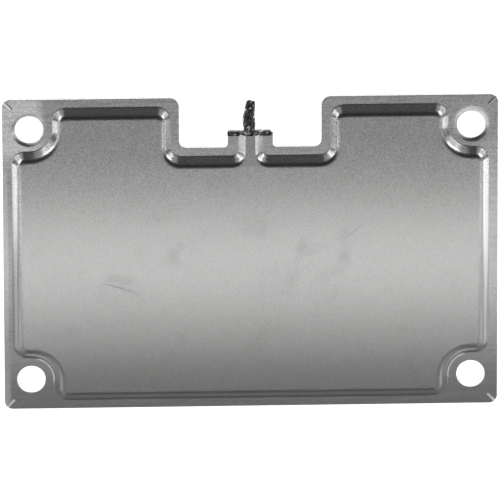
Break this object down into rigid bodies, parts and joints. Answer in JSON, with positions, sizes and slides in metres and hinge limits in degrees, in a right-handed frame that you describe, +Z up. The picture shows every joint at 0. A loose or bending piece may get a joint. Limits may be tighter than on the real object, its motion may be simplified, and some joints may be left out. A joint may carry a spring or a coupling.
{
  "type": "vapour chamber heat spreader plate",
  "caption": "Flat two-sheet vapour chamber heat spreader with a pressed pan, corner screw holes, and a sealed fill tube in a notch.",
  "frame": {"origin": "under the middle of the plate, on the face that it rests on", "axes": "+X along the long side, +Y towards the side with the notch and the fill tube, +Z up through the pan"},
  "size_m": [0.1054, 0.0694, 0.003],
  "materials": {
    "plated_sheet": "satin",
    "sintered_copper": "matte",
    "copper": "satin",
    "braze": "satin",
    "black_resin": "gloss"
  },
  "bodies": {
    "root": {"base_sheet": "plated_sheet", "shell_sheet": "plated_sheet", "base_wick": "sintered_copper", "shell_wick": "sintered_copper", "fill_tube": "copper", "neck_braze": "braze", "resin_seal": "black_resin", "wick_column_01": "sintered_copper", "wick_column_02": "sintered_copper", "wick_column_03": "sintered_copper", "wick_column_04": "sintered_copper", "wick_column_05": "sintered_copper", "wick_column_06": "sintered_copper", "wick_column_07": "sintered_copper", "wick_column_08": "sintered_copper", "wick_column_09": "sintered_copper", "wick_column_10": "sintered_copper", "wick_column_11": "sintered_copper", "wick_column_12": "sintered_copper"}
  },
  "joints": []
}
